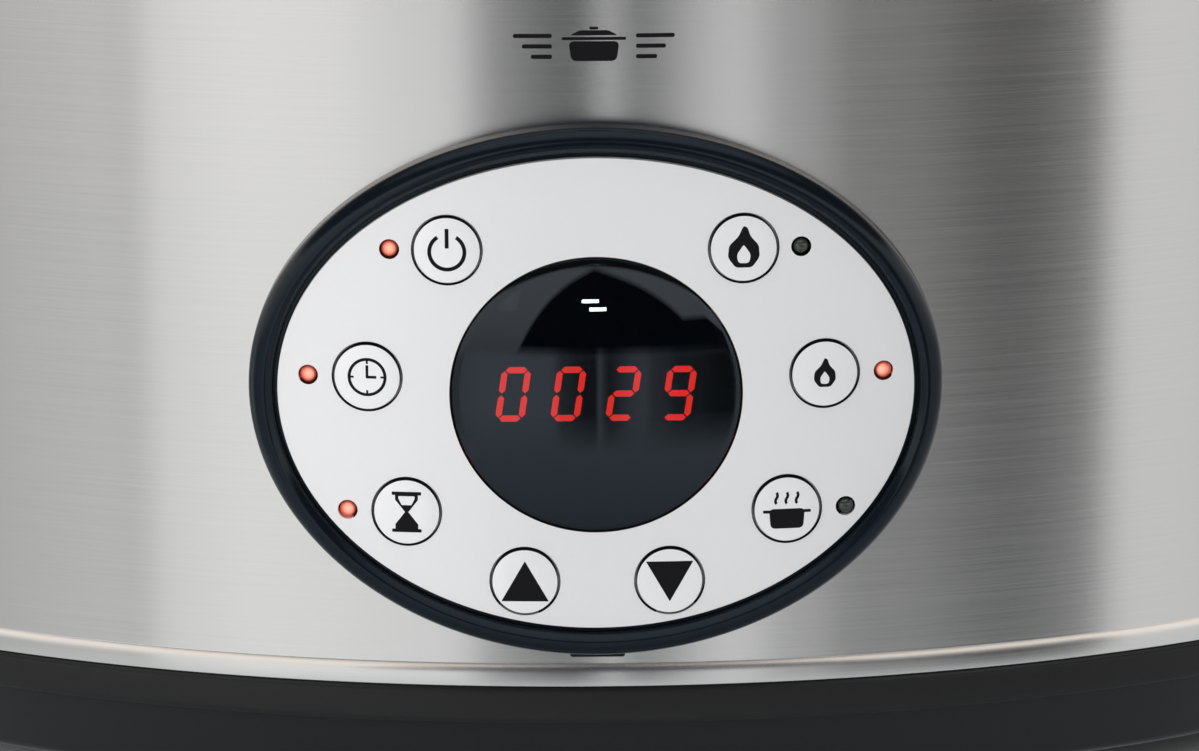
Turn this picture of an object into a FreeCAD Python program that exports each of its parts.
import FreeCAD, Part
import math
import os
import re

import Sketcher
from FreeCAD import Rotation, Vector

# An oval digital slow cooker: a brushed steel housing on a black base, a glazed crock
# that lifts out, a domed glass lid, two side handles and a control panel with eight
# keys at the front. The front faces -Y, +Z is up and the feet stand on Z = 0. The
# origin is the centre of the oval, on the floor.

doc = FreeCAD.newDocument("SlowCooker")
sheet = doc.addObject("Spreadsheet::Sheet", "Sizes")
names = []


def size(name, value):
    """Write one driving dimension (mm or degrees) into the sheet under its alias."""
    names.append(name)
    row = len(names)
    sheet.set(f"A{row}", name)
    sheet.set(f"B{row}", str(value))
    sheet.setAlias(f"B{row}", name)


# ---- driving dimensions ------------------------------------------------------------------

# Plan of the housing: a four-arc oval, two end arcs joined by two wide arcs.
size("half_length", 182)
size("half_width", 142)
size("end_setback", 12)

# Clearances.
size("fit_gap", 0.3)
size("slip_gap", 0.15)
size("touch_gap", 0.05)
size("screw_tip_room", 0.5)
size("recess_length_share", 1.2)
size("recess_width_share", 0.25)
size("through", 12)
size("drop_gap", 0.8)

# Base moulding and feet.
size("foot_height", 6)
size("foot_radius", 9)
size("foot_peg_radius", 2.6)
size("foot_peg_height", 6)
size("foot_spread_length", 108)
size("foot_spread_width", 78)
size("base_floor", 2.5)
size("base_wall", 4.3)
size("skirt_height", 16)
size("skirt_angle", 24)
size("skirt_round", 7)
size("lip_height", 6)
size("lip_proud", 1.2)
size("lip_round", 1)
size("upstand_height", 4)
size("upstand_wall", 2)
size("vent_length", 34)
size("vent_width", 3)
size("vent_pitch", 8)
size("vent_row_place", 63)
size("vent_start", 20)
size("vent_count", 6)

# Steel shell.
size("shell_height", 150)
size("shell_wall", 0.8)
size("hem_height", 3.6)
size("hem_proud", 0.4)

# Top collar.
size("collar_height", 6)
size("collar_proud", 1)
size("collar_round", 2.5)
size("collar_inset", 17)
size("collar_seat_inset", 14)
size("collar_seat_depth", 1.2)
size("collar_skirt_depth", 9)
size("collar_skirt_wall", 2)

# Heating liner.
size("liner_inset", 18)
size("liner_wall", 0.8)
size("liner_depth", 147)
size("liner_round", 9)

# Crock.
size("crock_side_gap", 4)
size("crock_wall", 7)
size("crock_outer_depth", 145)
size("crock_floor", 9)
size("crock_taper", 3.5)
size("crock_round", 14)
size("rim_inset", 11)
size("rim_height", 10)
size("rim_lip", 4)
size("rim_rebate", 3)
size("rim_round", 1.8)
size("lug_reach", 11)
size("lug_half_width", 38)
size("lug_height", 7)
size("lug_round", 14)

# Glass lid.
size("glass_thickness", 4)
size("dome_margin", 13)
size("dome_rise", 38)
size("band_wall", 0.6)
size("band_overlap", 4.5)
size("knob_seat_radius", 21)
size("knob_seat_rise", 0.4)
size("knob_seat_margin", 0.12)
size("knob_hole_radius", 2.6)
size("vent_hole_radius", 2.6)
size("vent_hole_reach", 62)
size("eyelet_bore", 1.4)
size("eyelet_flange", 5)
size("eyelet_flange_thickness", 0.6)

# Knob and its fixing.
size("guard_radius", 19)
size("guard_thickness", 2)
size("knob_height", 26)
size("knob_foot_radius", 14)
size("knob_foot_height", 3)
size("knob_waist_radius", 10.5)
size("knob_waist_height", 10)
size("knob_top_radius", 23)
size("knob_crown", 2)
size("knob_crown_radius", 12)
size("knob_crown_drop", 0.5)
size("knob_edge_height", 17)
size("knob_edge_round", 3)
size("knob_bore_depth", 14)
size("seal_radius", 14)
size("seal_thickness", 1.2)
size("knob_screw_radius", 2)
size("knob_screw_head_radius", 5)
size("knob_screw_head_height", 2.6)

# Side handles.
size("handle_half_width", 58)
size("handle_reach", 28)
size("handle_bar", 11)
size("handle_thickness", 18)
size("handle_level", 132)
size("handle_gap_half_width", 42)
size("handle_corner", 20)
size("handle_gap_corner", 7)
size("handle_edge_round", 4)
size("handle_screw_offset", 50)
size("handle_screw_radius", 2)
size("handle_screw_length", 14)
size("handle_screw_head_radius", 3.8)
size("handle_screw_head_height", 2.4)
size("handle_plate_thickness", 1.5)
size("handle_plate_half_width", 60)

# Cord gland in the rear wall.
size("gland_level", 46)
size("gland_bore_radius", 3.7)
size("gland_neck_radius", 6.5)
size("gland_flange_radius", 10)
size("gland_proud", 6)
size("gland_tail", 12)
size("gland_nut_radius", 10)
size("gland_nut_thickness", 4)

# Heating and sensing.
size("heater_thickness", 1.6)
size("heater_height", 34)
size("heater_level", 50)
size("bolt_radius", 3)
size("bolt_head_height", 1.2)
size("bolt_tail", 1)
size("bolt_nut_radius", 5.5)
size("bolt_nut_height", 3.2)
size("bracket_half_length", 42)
size("bracket_width", 14)
size("bracket_thickness", 1.2)
size("sensor_radius", 6)
size("sensor_height", 5.8)
size("sensor_place", 30)
size("fuse_radius", 2.75)
size("fuse_length", 12)

# Power board.
size("board_thickness", 1.6)
size("power_board_length", 80)
size("power_board_width", 60)
size("power_board_level", 14)
size("power_board_place", 88)
size("board_post_radius", 3.6)
size("board_post_margin", 6)
size("board_screw_radius", 1.3)
size("board_screw_head_radius", 2.7)
size("board_screw_head_height", 1.8)
size("board_screw_grip", 4)
size("relay_length", 19)
size("relay_width", 15.5)
size("relay_height", 15)
size("core_length", 28)
size("core_width", 14)
size("core_height", 16)
size("coil_width", 22)
size("coil_length", 18)
size("coil_height", 12)
size("coil_lift", 1)
size("terminal_length", 24)
size("terminal_width", 10)
size("terminal_height", 11)
size("terminal_well_radius", 2.4)
size("terminal_well_depth", 3)

# Control panel: every "lift" is a distance outwards from the shell's front arc.
size("panel_level", 57)
size("bezel_half_width", 63.9)
size("bezel_half_height", 49.3)
size("bezel_border", 5.3)
size("bezel_lift", 7.4)
size("bezel_ledge", 3.4)
size("neck_inset", 3.1)
size("neck_wall", 2.4)
size("neck_depth", 3)
size("snap_rib", 0.9)
size("snap_rib_height", 1.2)
size("tab_width", 10.2)
size("tab_drop", 1.1)
size("tab_lift", 3)
size("face_lift", 6)
size("face_thickness", 2)
size("lens_half_width", 26.75)
size("lens_half_height", 25.7)
size("lens_crown", 3.5)
size("lens_depth_radius", 40)
size("lens_wide_radius", 54)
size("lens_high_radius", 61)
size("lens_wall", 1.8)
size("lens_flange", 1.6)
size("lens_flange_thickness", 1.2)

# Keys, switches and indicator lights.
size("key_hole_radius", 6.55)
size("key_gap", 0.35)
size("key_proud", 0.5)
size("key_flange", 1)
size("key_flange_thickness", 1)
size("key_stem_radius", 1.7)
size("key_travel", 0.5)
size("key_free", 0.1)
size("switch_side", 6)
size("switch_body_height", 3.5)
size("switch_button_radius", 1.75)
size("switch_button_height", 1)
size("light_hole_radius", 1.8)
size("light_radius", 1.5)
size("light_proud", 0.4)

# Places of the keys and lights, from the middle of the panel.
size("key_upper_x", 26.9)
size("key_upper_z", 26.9)
size("key_middle_x", 41.8)
size("key_middle_z", 3.1)
size("key_lower_x", 34.9)
size("key_lower_z", -22.1)
size("key_arrow_x", 13.3)
size("key_arrow_margin", 2.45)
size("light_spacing_upper", 10.5)
size("light_spacing", 10.9)

# Control board, display module and the tray that carries them.
size("board_setback", 8)
size("control_board_half_width", 56)
size("control_board_half_height", 41)
size("control_screw_x", 24)
size("control_screw_z", 13)
size("display_width", 40.2)
size("display_height", 12.8)
size("display_depth", 7)
size("tray_post_height", 4.4)
size("tray_wall", 1.5)
size("tray_side_lap", 0.1)
size("tray_end_lap", 0.7)
size("tray_ear", 7.2)
size("tray_ear_height", 14)
size("stud_radius", 1.5)
size("stud_tail", 4)
size("stud_nut_radius", 3)
size("stud_nut_height", 2.4)

doc.recompute()


# ---- expressions -------------------------------------------------------------------------

def expression(text):
    """Turn plain alias words into references to the sheet."""
    def refer(match):
        word = match.group()
        return f"Sizes.{word}" if word in names else word
    return re.sub(r"[a-z][a-z_]*", refer, text)


def bind(thing, **targets):
    """Bind properties to expressions written with alias words."""
    for name, text in targets.items():
        thing.setExpression(name, expression(text))
    return thing


def place(thing, x="0", y="0", z="0"):
    """Bind an object's position."""
    for letter, text in (("x", x), ("y", y), ("z", z)):
        thing.setExpression(f"Placement.Base.{letter}", expression(text))
    return thing


def turn(thing, angle, axis=Vector(0, 0, 1)):
    """Bind an object's rotation about one axis, in degrees."""
    thing.Placement = FreeCAD.Placement(Vector(), Rotation(axis, 1))
    thing.setExpression("Placement.Rotation.Angle", expression(f"({angle}) * 1 deg"))
    return thing


# Radius of the two end arcs, and the distance of their centres from the middle.
END_RADIUS = "(half_width - end_setback)"
END_CENTRE = f"(half_length - {END_RADIUS})"

# Radius of the two wide arcs, tangent to the end arcs, and the distance of their
# centres from the middle of the oval. The front arc is centred at Y = +WIDE_CENTRE.
WIDE_RADIUS = (
    f"(({END_CENTRE}^2 + half_width^2 - {END_RADIUS}^2)"
    " / (2 * end_setback))"
)
WIDE_CENTRE = f"({WIDE_RADIUS} - half_width)"

# Levels.
SHELL_BOTTOM = "(foot_height + skirt_height + lip_height)"
SHELL_TOP = f"({SHELL_BOTTOM} + shell_height)"
COLLAR_TOP = f"({SHELL_TOP} + collar_height)"
FLOOR_TOP = "(foot_height + base_floor)"
LINER_TOP = f"({COLLAR_TOP} - collar_seat_depth + liner_wall)"
LINER_BOTTOM = f"({LINER_TOP} - liner_depth)"
CROCK_INSET = "(liner_inset + liner_wall + crock_side_gap)"
RIM_TOP = f"({COLLAR_TOP} + rim_height)"
LID_SEAT = f"({RIM_TOP} - rim_rebate)"
LID_INSET = "(rim_inset + rim_lip + drop_gap)"
GLASS_BOTTOM = f"({LID_SEAT} + band_wall)"
KNOB_SEAT = f"({GLASS_BOTTOM} + dome_rise + knob_seat_rise)"
DOME_INSIDE = f"(half_width - {LID_INSET} - band_wall - slip_gap - dome_margin - glass_thickness)"
SEAL_DROP = f"(dome_rise - glass_thickness) * (1 - sqrt(1 - (seal_radius / {DOME_INSIDE})^2))"
KNOB_SEAT_UNDER = f"({GLASS_BOTTOM} + dome_rise - glass_thickness - {SEAL_DROP} - knob_seat_margin)"
KNOB_BASE = f"({KNOB_SEAT} + guard_thickness)"
PANEL_Z = f"({SHELL_BOTTOM} + panel_level)"
BOARD_FRONT = "(half_width - board_setback)"
BOARD_BACK = f"({BOARD_FRONT} - board_thickness)"

# Half sizes of the tray behind the panel, and the height of the two arrow keys, which
# keep their distance from the lower edge of the face.
TRAY_HALF_WIDTH = "(bezel_half_width + tray_side_lap)"
TRAY_HALF_HEIGHT = "(bezel_half_height + tray_end_lap)"
KEY_ARROW_Z = "(key_arrow_margin + key_hole_radius + bezel_border - bezel_half_height)"


def forward(x, lift):
    """Distance in front of the oval's middle of a surface that follows the front arc."""
    return f"(sqrt(({WIDE_RADIUS} + {lift})^2 - ({x})^2) - {WIDE_CENTRE})"


# The floor of the tray stands behind the board, and clear of the ends of the bezel's neck.
NECK_END = forward("bezel_half_width - neck_inset", "-neck_depth")
TRAY_BACK = f"min({BOARD_BACK} - tray_post_height; {NECK_END} - fit_gap - tray_wall)"


# ---- Part primitives and booleans --------------------------------------------------------

ALONG = {
    "z": Rotation(),
    "x": Rotation(Vector(0, 1, 0), 90),
    "front": Rotation(Vector(1, 0, 0), 90),
    "rear": Rotation(Vector(1, 0, 0), -90),
}


def cylinder(radius, height, x="0", y="0", z="0", along="z"):
    piece = doc.addObject("Part::Cylinder", "Cylinder")
    piece.Placement = FreeCAD.Placement(Vector(), ALONG[along])
    bind(piece, Radius=radius, Height=height)
    return place(piece, x, y, z)


def box(length, width, height, x="0", y="0", z="0"):
    """A block centred on x and y that stands on z."""
    piece = doc.addObject("Part::Box", "Box")
    bind(piece, Length=length, Width=width, Height=height)
    return place(piece, f"{x} - ({length}) / 2", f"{y} - ({width}) / 2", z)


def sphere(radius, x="0", y="0", z="0"):
    piece = doc.addObject("Part::Sphere", "Sphere")
    bind(piece, Radius=radius)
    return place(piece, x, y, z)


def ellipsoid(half_x, half_y, half_z, x="0", y="0", z="0"):
    piece = doc.addObject("Part::Ellipsoid", "Ellipsoid")
    piece.Angle1 = -90
    bind(piece, Radius1=half_z, Radius2=half_x, Radius3=half_y)
    return place(piece, x, y, z)


def fuse(*pieces):
    joined = doc.addObject("Part::MultiFuse", "Fuse")
    joined.Shapes = list(pieces)
    joined.Refine = True
    return joined


def common(*pieces):
    shared = doc.addObject("Part::MultiCommon", "Common")
    shared.Shapes = list(pieces)
    return shared


def cut(base, *tools):
    """Take every tool out of the base."""
    result = base
    for tool in tools:
        step = doc.addObject("Part::Cut", "Cut")
        step.Base = result
        step.Tool = tool
        result = step
    return result


def group(*pieces):
    together = doc.addObject("Part::Compound", "Group")
    together.Links = list(pieces)
    return together


def ring(outer, inner, height, z="0", x="0", y="0"):
    return cut(cylinder(outer, height, x, y, z), cylinder(inner, height, x, y, z))


def screw(radius, length, head_radius, head_height):
    """A pan-head screw with a cross recess: point down, under-head face on Z = 0."""
    shank = cylinder(radius, length, z=f"-({length})")
    head = cylinder(head_radius, head_height)
    long_slot = f"({head_radius}) * recess_length_share"
    short_slot = f"({head_radius}) * recess_width_share"
    recess_level = f"({head_height}) / 2"
    slot_one = box(long_slot, short_slot, head_height, z=recess_level)
    slot_two = box(short_slot, long_slot, head_height, z=recess_level)
    return cut(fuse(shank, head), slot_one, slot_two)


# ---- the oval ----------------------------------------------------------------------------

def oval_outline(sketch, inset="0"):
    """Draw the four tangent arcs of the housing's plan, moved inwards by an inset."""
    half_length = sheet.half_length
    half_width = sheet.half_width
    end_radius = half_width - sheet.end_setback
    reach = half_length - end_radius
    wide_radius = (reach**2 + half_width**2 - end_radius**2) / (2 * sheet.end_setback)
    centre = wide_radius - half_width
    swing = math.atan2(centre, reach)
    up = Vector(0, 0, 1)

    def arc(x, y, radius, start, end):
        return sketch.addGeometry(Part.ArcOfCircle(Part.Circle(Vector(x, y, 0), up, radius), start, end))

    right = arc(reach, 0, end_radius, -swing, swing)
    rear = arc(0, -centre, wide_radius, swing, math.pi - swing)
    left = arc(-reach, 0, end_radius, math.pi - swing, math.pi + swing)
    front = arc(0, centre, wide_radius, math.pi + swing, 2 * math.pi - swing)
    for first, second in ((right, rear), (rear, left), (left, front), (front, right)):
        sketch.addConstraint(Sketcher.Constraint("Tangent", first, 2, second, 1))
    sketch.addConstraint(Sketcher.Constraint("PointOnObject", right, 3, -1))
    sketch.addConstraint(Sketcher.Constraint("PointOnObject", rear, 3, -2))
    sketch.addConstraint(Sketcher.Constraint("PointOnObject", front, 3, -2))
    sketch.addConstraint(Sketcher.Constraint("Equal", right, left))
    sketch.addConstraint(Sketcher.Constraint("Equal", rear, front))
    drive(sketch, Sketcher.Constraint("DistanceX", -1, 1, right, 3, reach), END_CENTRE)
    drive(sketch, Sketcher.Constraint("Radius", right, end_radius), f"{END_RADIUS} - ({inset})")
    drive(sketch, Sketcher.Constraint("Radius", rear, wide_radius), f"{WIDE_RADIUS} - ({inset})")


def drive(sketch, constraint, text):
    """Add a dimension to a sketch and bind it to an expression."""
    index = sketch.addConstraint(constraint)
    sketch.setExpression(f"Constraints[{index}]", expression(text))


plan = doc.addObject("Sketcher::SketchObject", "Plan")
oval_outline(plan)


def oval(inset, z, height):
    """An upright prism on the housing's plan, moved inwards by an inset."""
    outline = plan
    if inset != "0":
        outline = doc.addObject("Part::Offset2D", "OvalOutline")
        outline.Source = plan
        bind(outline, Value=f"-({inset})")
    prism = doc.addObject("Part::Extrusion", "Oval")
    prism.Base = outline
    prism.DirMode = "Custom"
    prism.Dir = Vector(0, 0, 1)
    prism.Solid = True
    bind(prism, LengthFwd=height)
    return place(prism, z=z)


def panel_oval(half_width, half_height, start, length):
    """A prism with an elliptical outline that runs forwards from the distance start."""
    outline = doc.addObject("Part::Ellipse", "PanelOutline")
    bind(outline, MajorRadius=half_width, MinorRadius=half_height)
    prism = doc.addObject("Part::Extrusion", "PanelOval")
    prism.Base = outline
    prism.DirMode = "Custom"
    prism.Dir = Vector(0, 0, 1)
    prism.Solid = True
    prism.Placement = FreeCAD.Placement(Vector(), ALONG["front"])
    bind(prism, LengthFwd=length)
    return place(prism, y=f"-({start})", z=PANEL_Z)


def front_slab(inner_lift, outer_lift):
    """A wall that follows the front arc between two lifts, taller than the panel."""
    height = "3 * bezel_half_height"
    level = f"{PANEL_Z} - 1.5 * bezel_half_height"
    outer = cylinder(f"{WIDE_RADIUS} + {outer_lift}", height, y=WIDE_CENTRE, z=level)
    inner = cylinder(f"{WIDE_RADIUS} + {inner_lift}", height, y=WIDE_CENTRE, z=level)
    return cut(outer, inner)


def key_barrel(radius, x, z, start, length):
    """A round prism that runs forwards at one place of the panel."""
    return cylinder(radius, length, x=x, y=f"-({start})", z=f"{PANEL_Z} + {z}", along="front")


def panel_prism(half_width, half_height):
    """An elliptical tool that runs right through the panel."""
    return panel_oval(half_width, half_height, "half_width / 2", "half_width")


def panel_bore(radius, x, z):
    """A round tool that runs right through the panel."""
    return key_barrel(radius, x, z, "half_width / 2", "half_width")


# ---- PartDesign helpers ------------------------------------------------------------------

def new_body(name):
    return doc.addObject("PartDesign::Body", name)


def new_sketch(body, role="XY_Plane", level="0"):
    sketch = body.newObject("Sketcher::SketchObject", "Sketch")
    plane = next(item for item in body.Origin.OriginFeatures if item.Role == role)
    sketch.AttachmentSupport = (plane, [""])
    sketch.MapMode = "FlatFace"
    sketch.setExpression("AttachmentOffset.Base.z", expression(level))
    return sketch


def oval_sketch(body, level, *insets):
    sketch = new_sketch(body, level=level)
    for inset in insets:
        oval_outline(sketch, inset)
    return sketch


def outline_sketch(body, points, role="XY_Plane", level="0"):
    """A closed outline of straight lines through points given as expressions."""
    sketch = new_sketch(body, role, level)
    spots = [Vector(value(x), value(y), 0) for x, y in points]
    lines = []
    for index, spot in enumerate(spots):
        following = spots[(index + 1) % len(spots)]
        lines.append(sketch.addGeometry(Part.LineSegment(spot, following)))
    for index, line in enumerate(lines):
        sketch.addConstraint(
            Sketcher.Constraint("Coincident", line, 2, lines[(index + 1) % len(lines)], 1))
        x, y = points[index]
        drive(sketch, Sketcher.Constraint("DistanceX", -1, 1, line, 1, spots[index].x), x)
        drive(sketch, Sketcher.Constraint("DistanceY", -1, 1, line, 1, spots[index].y), y)
    return sketch


def value(text):
    """Work out an expression now, in millimetres."""
    result = sheet.evalExpression(expression(text))
    return float(getattr(result, "Value", result))


def pad(body, sketch, length, taper=None, down=False):
    feature = body.newObject("PartDesign::Pad", "Pad")
    feature.Profile = sketch
    feature.Reversed = down
    bind(feature, Length=length)
    if taper:
        bind(feature, TaperAngle=taper)
    return feature


def pocket(body, sketch, length, taper=None, up=False):
    before = body_volume(body)
    feature = body.newObject("PartDesign::Pocket", "Pocket")
    feature.Profile = sketch
    feature.Reversed = up
    bind(feature, Length=length)
    if taper:
        bind(feature, TaperAngle=taper)
    if not body_volume(body) < before:
        raise ValueError(f"{body.Name}: {feature.Name} removes nothing")
    return feature


def body_volume(body):
    doc.recompute()
    return body.Shape.Volume


def round_level(body, level, radius, wanted=None):
    """Round every edge that lies in one horizontal plane and passes a test."""
    doc.recompute()
    height = value(level)
    chosen = []
    for index, edge in enumerate(body.Shape.Edges):
        bounds = edge.BoundBox
        if abs(bounds.ZMin - height) + abs(bounds.ZMax - height) < 0.02:
            if wanted is None or wanted(edge):
                chosen.append(f"Edge{index + 1}")
    fillet = body.newObject("PartDesign::Fillet", "Round")
    fillet.Base = (fillet_base(body, fillet), chosen)
    bind(fillet, Radius=radius)
    return fillet


def round_upright(body, radius, wanted):
    """Round the upright edges that pass a test."""
    doc.recompute()
    chosen = []
    for index, edge in enumerate(body.Shape.Edges):
        bounds = edge.BoundBox
        if bounds.ZLength > 1 and bounds.XLength + bounds.YLength < 0.02 and wanted(edge):
            chosen.append(f"Edge{index + 1}")
    fillet = body.newObject("PartDesign::Fillet", "Corner")
    fillet.Base = (fillet_base(body, fillet), chosen)
    bind(fillet, Radius=radius)
    return fillet


def fillet_base(body, fillet):
    """The solid feature that stands before a new fillet in its body."""
    solids = [item for item in body.Group if item.TypeId.startswith("PartDesign::")]
    return solids[solids.index(fillet) - 1]


nodes = {}


def node(name, piece):
    """Give a finished sub-part its name."""
    piece.Label = name
    nodes[name] = piece
    return piece


# ---- base and feet -----------------------------------------------------------------------

def make_base():
    body = new_body("Base")
    lip_bottom = "(foot_height + skirt_height)"
    lip = oval_sketch(body, lip_bottom, "-lip_proud")
    pad(body, lip, "lip_height")
    pad(body, oval_sketch(body, lip_bottom, "-lip_proud"), "skirt_height", "-skirt_angle", down=True)
    round_level(body, lip_bottom, "lip_round")
    round_level(body, "foot_height", "skirt_round")
    lip_inner = "base_wall - lip_proud"
    pocket(body, oval_sketch(body, SHELL_BOTTOM, lip_inner), "lip_height")
    pocket(body, oval_sketch(body, lip_bottom, lip_inner), "skirt_height - base_floor", "-skirt_angle")
    upstand_out = "shell_wall + fit_gap"
    upstand = oval_sketch(body, SHELL_BOTTOM, upstand_out, f"{upstand_out} + upstand_wall")
    pad(body, upstand, "upstand_height")
    posts = [board_post(x, y) for x in (-1, 1) for y in (-1, 1)]
    holes = [foot_hole(x, y) for x in (-1, 1) for y in (-1, 1)]
    holes.append(cylinder("bolt_radius + fit_gap", "2 * base_floor", z="foot_height - base_floor / 2"))
    slots = [vent_slot(side, index) for side in (-1, 1) for index in range(int(sheet.vent_count))]
    return node("base", cut(fuse(body, *posts), *holes, *slots))


def board_place(x, y):
    """Centre of one post of the power board."""
    across = f"-power_board_place + {x} * (power_board_length / 2 - board_post_margin)"
    along = f"{y} * (power_board_width / 2 - board_post_margin)"
    return across, along


def board_post(x, y):
    across, along = board_place(x, y)
    root = f"{FLOOR_TOP} - base_floor / 2"
    post = cylinder("board_post_radius", f"power_board_level - {root}", across, along, root)
    depth = "(board_screw_grip + screw_tip_room)"
    bore = cylinder("board_screw_radius + touch_gap", depth, across, along, f"power_board_level - {depth}")
    return cut(post, bore)


def foot_hole(x, y):
    return cylinder("foot_peg_radius + slip_gap", "2 * base_floor", f"{x} * foot_spread_length",
                    f"{y} * foot_spread_width", "foot_height - base_floor / 2")


def vent_slot(side, index):
    x = f"vent_start + {index} * vent_pitch"
    y = f"{side} * vent_row_place"
    return box("vent_width", "vent_length", "2 * base_floor", x, y, "foot_height - base_floor / 2")


def make_foot(name, x, y):
    tread = cylinder("foot_radius", "foot_height")
    peg = cylinder("foot_peg_radius", "foot_height / 2 + foot_peg_height", z="foot_height / 2")
    foot = fuse(tread, peg)
    place(foot, f"{x} * foot_spread_length", f"{y} * foot_spread_width")
    node(name, foot)


make_base()
make_foot("foot_front_left", -1, -1)
make_foot("foot_front_right", 1, -1)
make_foot("foot_rear_left", -1, 1)
make_foot("foot_rear_right", 1, 1)


# ---- steel shell -------------------------------------------------------------------------

def end_turned(piece, side, spin):
    """Carry a piece that lies along +X round the centre of one end arc to a screw."""
    carried = group(piece)
    angle = f"asin(handle_screw_offset / {END_RADIUS}) / 1 deg"
    if side > 0:
        turn(carried, f"{spin} * {angle}")
    else:
        turn(carried, f"180 - {spin} * {angle}")
    return place(carried, f"{side} * {END_CENTRE}", "0", "handle_level")


def end_barrel(side, spin, radius, length=END_RADIUS):
    """A round tool on the axis of one handle screw, from half the end arc's radius out."""
    return end_turned(cylinder(radius, length, x=f"{END_RADIUS} / 2", along="x"), side, spin)


SIDES = (-1, 1)


def make_shell():
    wall = fuse(oval("0", SHELL_BOTTOM, "shell_height"), oval("-hem_proud", SHELL_BOTTOM, "hem_height"))
    hollow = oval("shell_wall", f"{SHELL_BOTTOM} - 1", "shell_height + 2")
    opening = panel_prism("bezel_half_width - neck_inset + fit_gap",
                          "bezel_half_height - neck_inset + fit_gap")
    gland_hole = cylinder("gland_neck_radius + slip_gap", "half_width", y="half_width / 2",
                          z="gland_level", along="rear")
    holes = [end_barrel(side, spin, "handle_screw_radius + slip_gap") for side in SIDES for spin in SIDES]
    return node("outer_shell", cut(wall, hollow, opening, gland_hole, *holes))


make_shell()


# ---- collar and heating liner ------------------------------------------------------------

def make_collar():
    body = new_body("Collar")
    pad(body, oval_sketch(body, SHELL_TOP, "-collar_proud", "collar_inset"), "collar_height")
    skirt_out = "shell_wall + fit_gap"
    skirt = oval_sketch(body, SHELL_TOP, skirt_out, f"{skirt_out} + collar_skirt_wall")
    pad(body, skirt, "collar_skirt_depth", down=True)
    pocket(body, oval_sketch(body, COLLAR_TOP, "collar_seat_inset"), "collar_seat_depth")
    outermost = value("half_length + collar_proud")
    round_level(body, COLLAR_TOP, "collar_round", lambda edge: touches_oval(edge, outermost))
    return node("top_collar", body)


def touches_oval(edge, half_length):
    """True for the arcs of the oval outline with this half length."""
    inset = value("half_length") - half_length
    radii = (value(END_RADIUS) - inset, value(WIDE_RADIUS) - inset)
    radius = getattr(edge.Curve, "Radius", 0)
    return min(abs(radius - known) for known in radii) < 0.01


def rounded_plug(name, inset, bottom, height, radius):
    """An upright oval block with a rounded bottom edge."""
    body = new_body(name)
    pad(body, oval_sketch(body, bottom, inset), height)
    round_level(body, bottom, radius)
    return body


def make_liner():
    outer = rounded_plug("LinerOuter", "liner_inset", LINER_BOTTOM, "liner_depth",
                         "liner_round + liner_wall")
    inner = rounded_plug("LinerInner", "liner_inset + liner_wall", f"{LINER_BOTTOM} + liner_wall",
                         "liner_depth", "liner_round")
    flange = oval("collar_seat_inset + fit_gap", f"{LINER_TOP} - liner_wall", "liner_wall")
    bolt_hole = cylinder("bolt_radius + slip_gap", "through", z=f"{LINER_BOTTOM} - through / 2")
    return node("heating_liner", cut(fuse(outer, flange), inner, bolt_hole))


make_collar()
make_liner()


# ---- crock -------------------------------------------------------------------------------

def make_crock():
    body = new_body("Crock")
    pad(body, oval_sketch(body, COLLAR_TOP, CROCK_INSET), "crock_outer_depth", "-crock_taper", down=True)
    round_level(body, f"{COLLAR_TOP} - crock_outer_depth", "crock_round")
    lug_tip = "half_length - rim_inset + lug_reach"
    lug_points = [
        (f"-({lug_tip})", "-lug_half_width"), (lug_tip, "-lug_half_width"),
        (lug_tip, "lug_half_width"), (f"-({lug_tip})", "lug_half_width"),
    ]
    pad(body, outline_sketch(body, lug_points, level=COLLAR_TOP), "lug_height")
    round_upright(body, "lug_round", lambda edge: abs(edge.BoundBox.XMax) > value("half_length - rim_inset"))
    pad(body, oval_sketch(body, COLLAR_TOP, "rim_inset"), "rim_height")
    pocket(body, oval_sketch(body, RIM_TOP, "rim_inset + rim_lip"), "rim_rebate")
    cavity = oval_sketch(body, LID_SEAT, f"{CROCK_INSET} + crock_wall")
    pocket(body, cavity, "rim_height - rim_rebate + crock_outer_depth - crock_floor", "-crock_taper")
    round_level(body, f"{COLLAR_TOP} - crock_outer_depth + crock_floor", "crock_round")
    round_level(body, RIM_TOP, "rim_round")
    return node("crock", body)


make_crock()


# ---- glass lid ---------------------------------------------------------------------------

def make_glass():
    edge_inset = f"{LID_INSET} + band_wall + slip_gap"
    plate = oval(edge_inset, GLASS_BOTTOM, "glass_thickness")
    dome_length = f"half_length - {edge_inset} - dome_margin"
    dome_width = f"half_width - {edge_inset} - dome_margin"
    outer = ellipsoid(dome_length, dome_width, "dome_rise", z=GLASS_BOTTOM)
    inner = ellipsoid(f"{dome_length} - glass_thickness", f"{dome_width} - glass_thickness",
                      "dome_rise - glass_thickness", z=GLASS_BOTTOM)
    above = box("2 * half_length", "2 * half_width", "2 * dome_rise", z=GLASS_BOTTOM)
    seat = cylinder("knob_seat_radius", f"{KNOB_SEAT} - {KNOB_SEAT_UNDER}", z=KNOB_SEAT_UNDER)
    knob_hole = cylinder("knob_hole_radius", "3 * glass_thickness", z=f"{KNOB_SEAT_UNDER} - glass_thickness")
    dome = cut(fuse(plate, common(outer, above)), inner)
    vent_hole = vent_barrel("vent_hole_radius", "-through", "2 * through")
    return node("lid_glass", cut(fuse(dome, seat), knob_hole, vent_hole))


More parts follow.
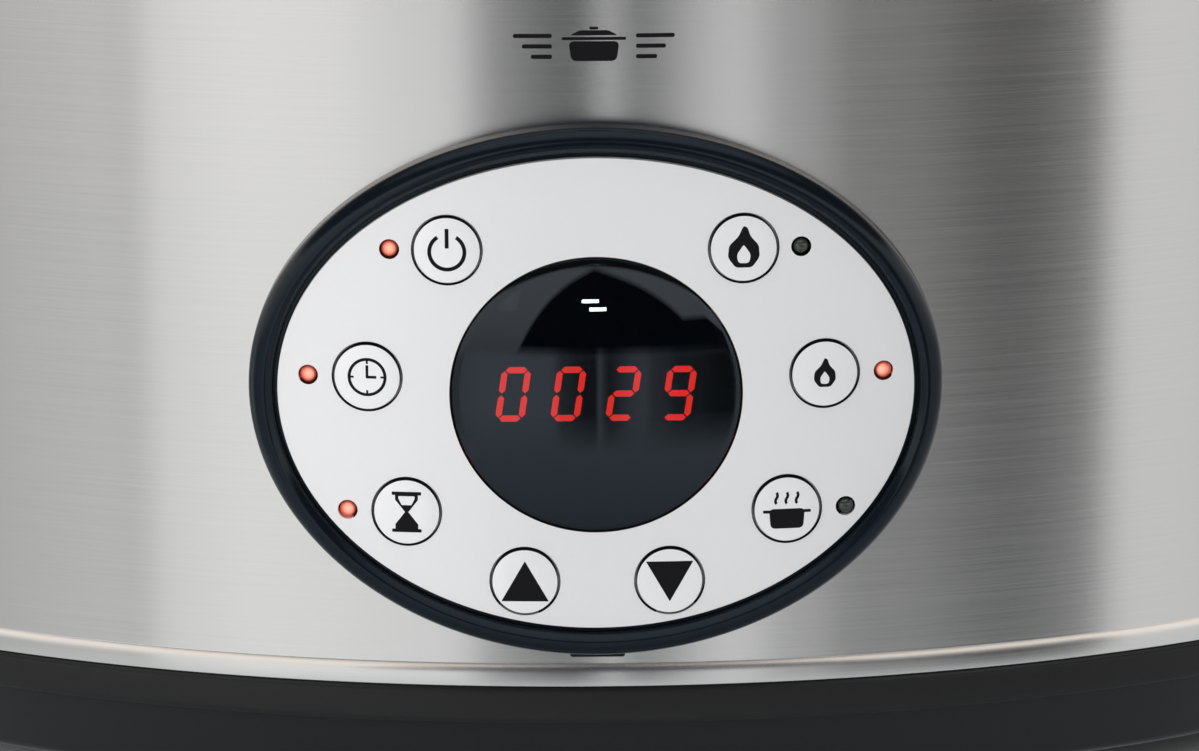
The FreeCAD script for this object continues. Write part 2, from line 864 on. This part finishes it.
# The steam vent stands square on the dome: its axis leans by the dome's slope there.
DOME_LENGTH = f"(half_length - {LID_INSET} - band_wall - slip_gap - dome_margin)"
VENT_RISE = f"(dome_rise * sqrt(1 - (vent_hole_reach / {DOME_LENGTH})^2))"
VENT_LEAN = f"(atan(dome_rise^2 * vent_hole_reach / ({DOME_LENGTH}^2 * {VENT_RISE})) / 1 deg)"


def vent_barrel(radius, start, length):
    barrel = group(cylinder(radius, length, z=start))
    turn(barrel, VENT_LEAN, Vector(0, 1, 0))
    return place(barrel, "vent_hole_reach", "0", f"{GLASS_BOTTOM} + {VENT_RISE}")


def make_eyelet():
    under = "-glass_thickness - slip_gap"
    tube = vent_barrel("vent_hole_radius - slip_gap", f"{under} - eyelet_flange_thickness",
                       "glass_thickness + 2 * slip_gap + 2 * eyelet_flange_thickness")
    upper = vent_barrel("eyelet_flange", "slip_gap", "eyelet_flange_thickness")
    lower = vent_barrel("eyelet_flange", f"{under} - eyelet_flange_thickness", "eyelet_flange_thickness")
    bore = vent_barrel("eyelet_bore", "-through", "2 * through")
    return node("vent_eyelet", cut(fuse(tube, upper, lower), bore))


def make_lid_band():
    height = "(glass_thickness + 2 * band_wall)"
    outer = oval(LID_INSET, LID_SEAT, height)
    middle = oval(f"{LID_INSET} + band_wall", GLASS_BOTTOM, "glass_thickness")
    inner = oval(f"{LID_INSET} + band_wall + band_overlap", f"{LID_SEAT} - 1", f"{height} + 2")
    return node("lid_rim", cut(outer, middle, inner))


def make_knob():
    body = new_body("Knob")
    base = KNOB_BASE
    points = [
        ("0", base), ("knob_foot_radius", base), ("knob_foot_radius", f"{base} + knob_foot_height"),
        ("knob_waist_radius", f"{base} + knob_waist_height"),
        ("knob_top_radius", f"{base} + knob_edge_height"),
        ("knob_top_radius - knob_edge_round", f"{base} + knob_height - knob_crown"),
        ("knob_crown_radius", f"{base} + knob_height - knob_crown_drop"), ("0", f"{base} + knob_height"),
    ]
    profile = outline_sketch(body, points, role="XZ_Plane")
    turned = body.newObject("PartDesign::Revolution", "Turned")
    turned.Profile = profile
    turned.ReferenceAxis = (profile, ["V_Axis"])
    turned.Angle = 360
    doc.recompute()
    bore = cylinder("knob_screw_radius + touch_gap", "2 * knob_bore_depth", z=f"{base} - knob_bore_depth")
    return node("lid_knob", cut(body, bore))


def make_knob_fixing():
    guard = cut(cylinder("guard_radius", "guard_thickness", z=KNOB_SEAT),
                cylinder("knob_hole_radius", "3 * guard_thickness", z=f"{KNOB_SEAT} - guard_thickness"))
    node("knob_heat_guard", guard)
    seal_bottom = f"({KNOB_SEAT_UNDER} - seal_thickness)"
    seal = cut(cylinder("seal_radius", "seal_thickness", z=seal_bottom),
               cylinder("knob_hole_radius", "3 * seal_thickness", z=f"{seal_bottom} - seal_thickness"))
    node("knob_seal_washer", seal)
    length = f"{KNOB_BASE} - {seal_bottom} + knob_bore_depth - screw_tip_room"
    fixing = screw("knob_screw_radius", length, "knob_screw_head_radius", "knob_screw_head_height")
    turn(fixing, "180", Vector(1, 0, 0))
    node("knob_screw", place(fixing, z=seal_bottom))


make_glass()
make_eyelet()
make_lid_band()
make_knob()
make_knob_fixing()


# ---- side handles ------------------------------------------------------------------------

HANDLE_BOTTOM = "(handle_level - handle_thickness / 2)"
HANDLE_TIP = "(half_length + handle_reach)"
HANDLE_ROOT = f"({END_CENTRE} + {END_RADIUS} * 0.75)"
HANDLE_SCREW_SEAT = f"({END_RADIUS} - shell_wall - fit_gap - handle_plate_thickness - slip_gap)"


def make_handle(name, side):
    body = new_body("Handle")
    grip_points = [
        (HANDLE_ROOT, "-handle_half_width"), (HANDLE_TIP, "-handle_half_width"),
        (HANDLE_TIP, "handle_half_width"), (HANDLE_ROOT, "handle_half_width"),
    ]
    pad(body, outline_sketch(body, grip_points, level=HANDLE_BOTTOM), "handle_thickness")
    gap_end = f"{HANDLE_TIP} - handle_bar"
    gap_points = [
        (HANDLE_ROOT, "-handle_gap_half_width"), (gap_end, "-handle_gap_half_width"),
        (gap_end, "handle_gap_half_width"), (HANDLE_ROOT, "handle_gap_half_width"),
    ]
    gap_top = f"{HANDLE_BOTTOM} + handle_thickness"
    pocket(body, outline_sketch(body, gap_points, level=gap_top), "handle_thickness")
    tip = value(HANDLE_TIP)
    bar = value(gap_end)
    round_upright(body, "handle_corner", lambda edge: abs(edge.BoundBox.XMax - tip) < 0.01)
    round_upright(body, "handle_gap_corner", lambda edge: abs(edge.BoundBox.XMax - bar) < 0.01)
    start = value(HANDLE_ROOT) + 0.01
    for level in (HANDLE_BOTTOM, gap_top):
        round_level(body, level, "handle_edge_round", lambda edge: edge.BoundBox.XMax > start)
    doc.recompute()
    if side < 0:
        turn(body, "180")
    seat = oval("-slip_gap", "handle_level - handle_thickness", "2 * handle_thickness")
    depth = f"{HANDLE_SCREW_SEAT} + handle_screw_length + screw_tip_room - {END_RADIUS} / 2"
    bores = [end_barrel(side, spin, "handle_screw_radius + touch_gap", depth) for spin in SIDES]
    return node(name, cut(body, seat, *bores))


def make_handle_plates():
    plates = []
    outer = f"{END_RADIUS} - shell_wall - fit_gap"
    for side in SIDES:
        bent = ring(outer, f"{outer} - handle_plate_thickness", "handle_thickness", HANDLE_BOTTOM,
                    x=f"{side} * {END_CENTRE}")
        limit = box(END_RADIUS, "2 * handle_plate_half_width", "2 * handle_thickness",
                    x=f"{side} * half_length", z="handle_level - handle_thickness")
        holes = [end_barrel(side, spin, "handle_screw_radius + slip_gap") for spin in SIDES]
        plates.append(cut(common(bent, limit), *holes))
    return node("handle_plates", group(*plates))


def make_handle_screws():
    pieces = []
    for side in SIDES:
        for spin in SIDES:
            fixing = screw("handle_screw_radius", "handle_screw_length", "handle_screw_head_radius",
                           "handle_screw_head_height")
            turn(fixing, "-90", Vector(0, 1, 0))
            place(fixing, x=HANDLE_SCREW_SEAT)
            pieces.append(end_turned(fixing, side, spin))
    return node("handle_screws", group(*pieces))


make_handle("handle_left", -1)
make_handle("handle_right", 1)
make_handle_plates()
make_handle_screws()


# ---- cord gland in the rear wall ---------------------------------------------------------

def make_gland():
    inner_end = "(half_width - gland_tail)"
    neck = cylinder("gland_neck_radius", "gland_tail + gland_proud", y=inner_end, z="gland_level",
                    along="rear")
    flange = cylinder("gland_flange_radius", "gland_proud / 2", y="half_width + fit_gap", z="gland_level",
                      along="rear")
    bore = cylinder("gland_bore_radius", "2 * (gland_tail + gland_proud)", y=f"{inner_end} - gland_proud",
                    z="gland_level", along="rear")
    node("cord_gland", cut(fuse(neck, flange), bore))
    nut_outer = "(half_width - shell_wall - 2 * fit_gap)"
    nut = cylinder("gland_nut_radius", "gland_nut_thickness", y=f"{nut_outer} - gland_nut_thickness",
                   z="gland_level", along="rear")
    clearance = cylinder("gland_neck_radius + touch_gap", "half_width", y="half_width / 2", z="gland_level",
                         along="rear")
    node("gland_nut", cut(nut, clearance))


make_gland()


# ---- heating, sensing and the central bolt -----------------------------------------------

BRACKET_TOP = f"({LINER_BOTTOM} - sensor_height - slip_gap)"


def make_heating():
    band = cut(oval("liner_inset - slip_gap - heater_thickness", "heater_level", "heater_height"),
               oval("liner_inset - slip_gap", "heater_level - 1", "heater_height + 2"))
    node("heater_band", band)
    sensor = cylinder("sensor_radius", "sensor_height", "sensor_place", "0", BRACKET_TOP)
    node("thermistor", sensor)
    fuse_axis = f"{BRACKET_TOP} + fuse_radius + slip_gap / 2"
    node("thermal_fuse", cylinder("fuse_radius", "fuse_length", "-sensor_place - fuse_length / 2", "0",
                                  fuse_axis, along="x"))
    strip = box("2 * bracket_half_length", "bracket_width", "bracket_thickness",
                z=f"{BRACKET_TOP} - bracket_thickness")
    hole = cylinder("bolt_radius + slip_gap", "through", z=f"{BRACKET_TOP} - through / 2")
    node("sensor_bracket", cut(strip, hole))


def make_tie_bolt():
    head_level = f"{LINER_BOTTOM} + liner_wall"
    tail = "foot_height - bolt_nut_height - bolt_tail"
    shank = cylinder("bolt_radius", f"{head_level} - ({tail})", z=tail)
    head = cylinder("bolt_nut_radius", "bolt_head_height", z=head_level)
    node("tie_bolt", fuse(shank, head))
    spacer_top = f"{BRACKET_TOP} - bracket_thickness"
    node("bolt_spacer", ring("bolt_nut_radius", "bolt_radius + touch_gap", f"{spacer_top} - {FLOOR_TOP}",
                             z=FLOOR_TOP))
    blank = doc.addObject("Part::Prism", "Hexagon")
    blank.Polygon = 6
    bind(blank, Circumradius="bolt_nut_radius", Height="bolt_nut_height")
    place(blank, z="foot_height - bolt_nut_height")
    node("tie_nut", cut(blank, cylinder("bolt_radius + touch_gap", "through", z="foot_height - through")))


make_heating()
make_tie_bolt()


# ---- power board -------------------------------------------------------------------------

BOARD_TOP = "(power_board_level + board_thickness)"


def make_power_board():
    board = box("power_board_length", "power_board_width", "board_thickness", "-power_board_place", "0",
                "power_board_level")
    spots = [board_place(x, y) for x in (-1, 1) for y in (-1, 1)]
    holes = [cylinder("board_screw_radius + slip_gap", "through", x, y, "power_board_level - through / 2")
             for x, y in spots]
    node("power_board", cut(board, *holes))
    screws = []
    for x, y in spots:
        fixing = screw("board_screw_radius", "board_screw_grip + board_thickness", "board_screw_head_radius",
                       "board_screw_head_height")
        screws.append(place(fixing, x, y, BOARD_TOP))
    node("power_board_screws", group(*screws))


def make_board_parts():
    side = "power_board_width / 4"
    middle = f"-power_board_place + {side}"
    node("relay", box("relay_length", "relay_width", "relay_height", middle, side, BOARD_TOP))
    core = box("core_length", "core_width", "core_height", middle, f"-{side}", BOARD_TOP)
    coil = box("coil_length", "coil_width", "coil_height", middle, f"-{side}", f"{BOARD_TOP} + coil_lift")
    node("transformer", fuse(core, coil))
    block_x = "-power_board_place - power_board_length / 2 + terminal_width"
    block = box("terminal_width", "terminal_length", "terminal_height", block_x, "0", BOARD_TOP)
    wells = []
    for index in (-1, 0, 1):
        wells.append(cylinder("terminal_well_radius", "2 * terminal_well_depth", block_x,
                              f"{index} * terminal_length / 3",
                              f"{BOARD_TOP} + terminal_height - terminal_well_depth"))
    node("terminal_block", cut(block, *wells))


make_power_board()
make_board_parts()


# ---- control panel -----------------------------------------------------------------------

FACE_BACK = "(face_lift - face_thickness)"
FACE_HALF_WIDTH = "(bezel_half_width - bezel_border)"
FACE_HALF_HEIGHT = "(bezel_half_height - bezel_border)"

KEYS = {
    "key_power": ("-key_upper_x", "key_upper_z"),
    "key_high": ("key_upper_x", "key_upper_z"),
    "key_delay": ("-key_middle_x", "key_middle_z"),
    "key_low": ("key_middle_x", "key_middle_z"),
    "key_cook": ("-key_lower_x", "key_lower_z"),
    "key_warm": ("key_lower_x", "key_lower_z"),
    "key_up": ("-key_arrow_x", KEY_ARROW_Z),
    "key_down": ("key_arrow_x", KEY_ARROW_Z),
}
LIGHTS = {
    "light_power": ("-key_upper_x - light_spacing_upper", "key_upper_z"),
    "light_high": ("key_upper_x + light_spacing_upper", "key_upper_z"),
    "light_delay": ("-key_middle_x - light_spacing", "key_middle_z"),
    "light_low": ("key_middle_x + light_spacing", "key_middle_z"),
    "light_cook": ("-key_lower_x - light_spacing", "key_lower_z"),
    "light_warm": ("key_lower_x + light_spacing", "key_lower_z"),
}


def make_bezel():
    above_shell = front_slab("fit_gap / 2", "bezel_lift")
    rim = common(above_shell, panel_prism("bezel_half_width", "bezel_half_height"))
    face_room = common(front_slab("bezel_ledge", "bezel_lift + 5"),
                       panel_prism(FACE_HALF_WIDTH, FACE_HALF_HEIGHT))
    neck_width = "(bezel_half_width - neck_inset)"
    neck_height = "(bezel_half_height - neck_inset)"
    neck = common(front_slab("-neck_depth", "bezel_ledge / 2"),
                  panel_prism(neck_width, neck_height))
    rib_top = "-shell_wall - fit_gap"
    rib = common(front_slab(f"{rib_top} - snap_rib_height", rib_top),
                 panel_prism(f"{neck_width} + snap_rib", f"{neck_height} + snap_rib"))
    opening = panel_prism(f"{neck_width} - neck_wall", f"{neck_height} - neck_wall")
    tab_height = "bezel_half_height / 4"
    tab = common(front_slab("fit_gap / 2", "tab_lift"),
                 box("tab_width", "half_width", tab_height, "0", "-half_width",
                     f"{PANEL_Z} - bezel_half_height - tab_drop"))
    return node("panel_bezel", cut(fuse(rim, neck, rib, tab), face_room, opening))


def make_face():
    plate = common(front_slab(FACE_BACK, "face_lift"),
                   panel_prism(f"{FACE_HALF_WIDTH} - slip_gap", f"{FACE_HALF_HEIGHT} - slip_gap"))
    window = panel_prism("lens_half_width", "lens_half_height")
    key_holes = [panel_bore("key_hole_radius", x, z) for x, z in KEYS.values()]
    light_holes = [panel_bore("light_hole_radius", x, z) for x, z in LIGHTS.values()]
    return node("panel_face", cut(plate, window, *key_holes, *light_holes))


def make_lens():
    apex = f"({forward('0', 'face_lift')} + lens_crown)"
    middle = f"-({apex} - lens_depth_radius)"
    width = "lens_half_width - slip_gap"
    height = "lens_half_height - slip_gap"
    flange_lift = f"({FACE_BACK} - slip_gap)"
    outer = common(panel_prism(width, height),
                   ellipsoid("lens_wide_radius", "lens_depth_radius", "lens_high_radius",
                             "0", middle, PANEL_Z),
                   front_slab(f"{flange_lift} - lens_flange_thickness", "face_lift + 2 * lens_crown"))
    flange = common(panel_prism(f"{width} + lens_flange", f"{height} + lens_flange"),
                    front_slab(f"{flange_lift} - lens_flange_thickness", flange_lift))
    hollow = common(panel_prism(f"{width} - lens_wall", f"{height} - lens_wall"),
                    ellipsoid("lens_wide_radius - lens_wall", "lens_depth_radius - lens_wall",
                              "lens_high_radius - lens_wall", "0", middle, PANEL_Z))
    return node("display_lens", cut(fuse(outer, flange), hollow))


make_bezel()
make_face()
make_lens()


# ---- keys and indicator lights -----------------------------------------------------------

SWITCH_TOP = f"({BOARD_FRONT} + switch_body_height + switch_button_height)"
key_cap_wall = front_slab(f"{FACE_BACK} - slip_gap - key_flange_thickness", "face_lift + key_proud")
key_flange_wall = front_slab(f"{FACE_BACK} - slip_gap - key_flange_thickness", f"{FACE_BACK} - slip_gap")
key_room = panel_prism("bezel_half_width - neck_inset - neck_wall - fit_gap",
                      "bezel_half_height - neck_inset - neck_wall - fit_gap")


def make_key(name, x, z):
    """One moulded key: a round cap, a flange behind the face and a stem to its switch."""
    cap = common(panel_bore("key_hole_radius - key_gap", x, z), key_cap_wall)
    flange = common(panel_bore("key_hole_radius + key_flange", x, z),
                    key_flange_wall, key_room)
    stem_end = f"({SWITCH_TOP} + key_travel + key_free)"
    stem_front = forward(x, f"{FACE_BACK} - slip_gap - key_flange_thickness / 2")
    stem = key_barrel("key_stem_radius", x, z, stem_end, f"{stem_front} - {stem_end}")
    return node(name, fuse(cap, flange, stem))


def make_light(name, x, z):
    """A light pipe with a rounded end, from the board to just proud of the face."""
    tip = f"({forward(x, 'face_lift')} + light_proud)"
    shaft = key_barrel("light_radius", x, z, BOARD_FRONT, f"{tip} - light_radius - {BOARD_FRONT}")
    dome = sphere("light_radius", x, f"-({tip} - light_radius)", f"{PANEL_Z} + {z}")
    return node(name, fuse(shaft, dome))


def make_switches():
    pieces = []
    for x, z in KEYS.values():
        case = box("switch_side", "switch_body_height", "switch_side", x,
                   f"-({BOARD_FRONT} + switch_body_height / 2)", f"{PANEL_Z} + {z} - switch_side / 2")
        button = key_barrel("switch_button_radius", x, z, f"{BOARD_FRONT} + switch_body_height / 2",
                            "switch_body_height / 2 + switch_button_height")
        pieces.append(fuse(case, button))
    return node("tact_switches", group(*pieces))


for key_name, (key_x, key_z) in KEYS.items():
    make_key(key_name, key_x, key_z)
for light_name, (light_x, light_z) in LIGHTS.items():
    make_light(light_name, light_x, light_z)
make_switches()


# ---- control board, display and tray -----------------------------------------------------

CONTROL_SCREWS = [(x, z) for x in ("-control_screw_x", "control_screw_x")
                  for z in ("-control_screw_z", "control_screw_z")]


def make_control_board():
    board = panel_oval("control_board_half_width", "control_board_half_height",
                       BOARD_BACK, "board_thickness")
    holes = [panel_bore("board_screw_radius + slip_gap", x, z)
             for x, z in CONTROL_SCREWS]
    node("control_board", cut(board, *holes))
    display = box("display_width", "display_depth", "display_height", "0",
                  f"-({BOARD_FRONT} + display_depth / 2)", f"{PANEL_Z} - display_height / 2")
    node("display_module", display)
    screws = []
    for x, z in CONTROL_SCREWS:
        fixing = screw("board_screw_radius", "board_thickness + board_screw_grip / 2",
                       "board_screw_head_radius", "board_screw_head_height")
        turn(fixing, "90", Vector(1, 0, 0))
        screws.append(place(fixing, x, f"-{BOARD_FRONT}", f"{PANEL_Z} + {z}"))
    node("control_board_screws", group(*screws))


EARS = [(x, z) for x in (-1, 1) for z in (-1, 1)]
EAR_FRONT = "-shell_wall - fit_gap"
EAR_BACK = f"{EAR_FRONT} - tray_wall"
NUT_SEAT = forward(f"{TRAY_HALF_WIDTH} + tray_ear / 2 + stud_nut_radius", EAR_BACK)


def ear_place(x, z):
    """Centre of one ear of the tray, beside its upper or lower corner."""
    across = f"{x} * ({TRAY_HALF_WIDTH} + tray_ear / 2)"
    return across, f"{z} * ({TRAY_HALF_HEIGHT} - tray_ear_height / 2)"


def make_tray():
    room = front_slab("-half_width / 4", "-shell_wall - fit_gap")
    depth = "(half_width - half_width / 4)"
    case_depth = f"{forward('0', '0')} - {TRAY_BACK}"
    case = box(f"2 * {TRAY_HALF_WIDTH}", case_depth, f"2 * {TRAY_HALF_HEIGHT}", "0",
               f"-({TRAY_BACK} + ({case_depth}) / 2)", f"{PANEL_Z} - {TRAY_HALF_HEIGHT}")
    hollow = box(f"2 * ({TRAY_HALF_WIDTH} - tray_wall)", depth, f"2 * ({TRAY_HALF_HEIGHT} - tray_wall)", "0",
                 f"-({TRAY_BACK} + tray_wall + {depth} / 2)", f"{PANEL_Z} - {TRAY_HALF_HEIGHT} + tray_wall")
    post_length = f"{BOARD_BACK} - {TRAY_BACK}"
    posts = []
    bores = []
    for x, z in CONTROL_SCREWS:
        posts.append(key_barrel("board_post_radius", x, z, TRAY_BACK, post_length))
        bores.append(key_barrel("board_screw_radius + touch_gap", x, z,
                                f"{BOARD_BACK} - board_screw_grip / 2 - fit_gap", "board_screw_grip"))
    ears = []
    for x, z in EARS:
        across, level = ear_place(x, z)
        ear = box("tray_ear + tray_wall", "half_width", "tray_ear_height",
                  f"{across} - {x} * tray_wall / 2", "-half_width",
                  f"{PANEL_Z} + {level} - tray_ear_height / 2")
        ears.append(common(ear, front_slab(EAR_BACK, EAR_FRONT)))
        bores.append(panel_bore("stud_radius + slip_gap", across, level))
    tray = cut(common(fuse(case, *ears), room), hollow)
    return node("panel_tray", cut(fuse(tray, *posts), *bores))


def make_studs():
    studs = []
    nuts = []
    inside_shell = cylinder(f"{WIDE_RADIUS} - shell_wall - slip_gap", "3 * bezel_half_height", y=WIDE_CENTRE,
                            z=f"{PANEL_Z} - 1.5 * bezel_half_height")
    for x, z in EARS:
        across, level = ear_place(x, z)
        shaft = key_barrel("stud_radius", across, level, f"{NUT_SEAT} - stud_tail", "half_width / 8")
        studs.append(common(shaft, inside_shell))
        nut = key_barrel("stud_nut_radius", across, level, f"{NUT_SEAT} - stud_nut_height",
                         "stud_nut_height")
        bore = panel_bore("stud_radius + touch_gap", across, level)
        nuts.append(cut(nut, bore))
    node("tray_studs", group(*studs))
    node("tray_nuts", group(*nuts))


make_control_board()
make_tray()
make_studs()


# ---- checks and files --------------------------------------------------------------------

doc.recompute()
faults = []
for item in doc.Objects:
    if "Invalid" in item.State or "Error" in item.State:
        faults.append(f"{item.Label}: {item.State}")
for name, piece in nodes.items():
    if piece.Shape.isNull() or not piece.Shape.isValid():
        faults.append(f"{name}: no valid shape")
    elif not piece.Shape.Solids:
        faults.append(f"{name}: no solid")
if faults:
    raise ValueError("; ".join(faults))

os.makedirs("parts", exist_ok=True)
for name, piece in nodes.items():
    piece.Shape.exportStep(os.path.join("parts", f"{name}.step"))
    bounds = piece.Shape.BoundBox
    print(f"{name}: {len(piece.Shape.Solids)} solid(s), "
          f"{bounds.XLength:.1f} x {bounds.YLength:.1f} x {bounds.ZLength:.1f} mm")
print(f"{len(nodes)} nodes written")
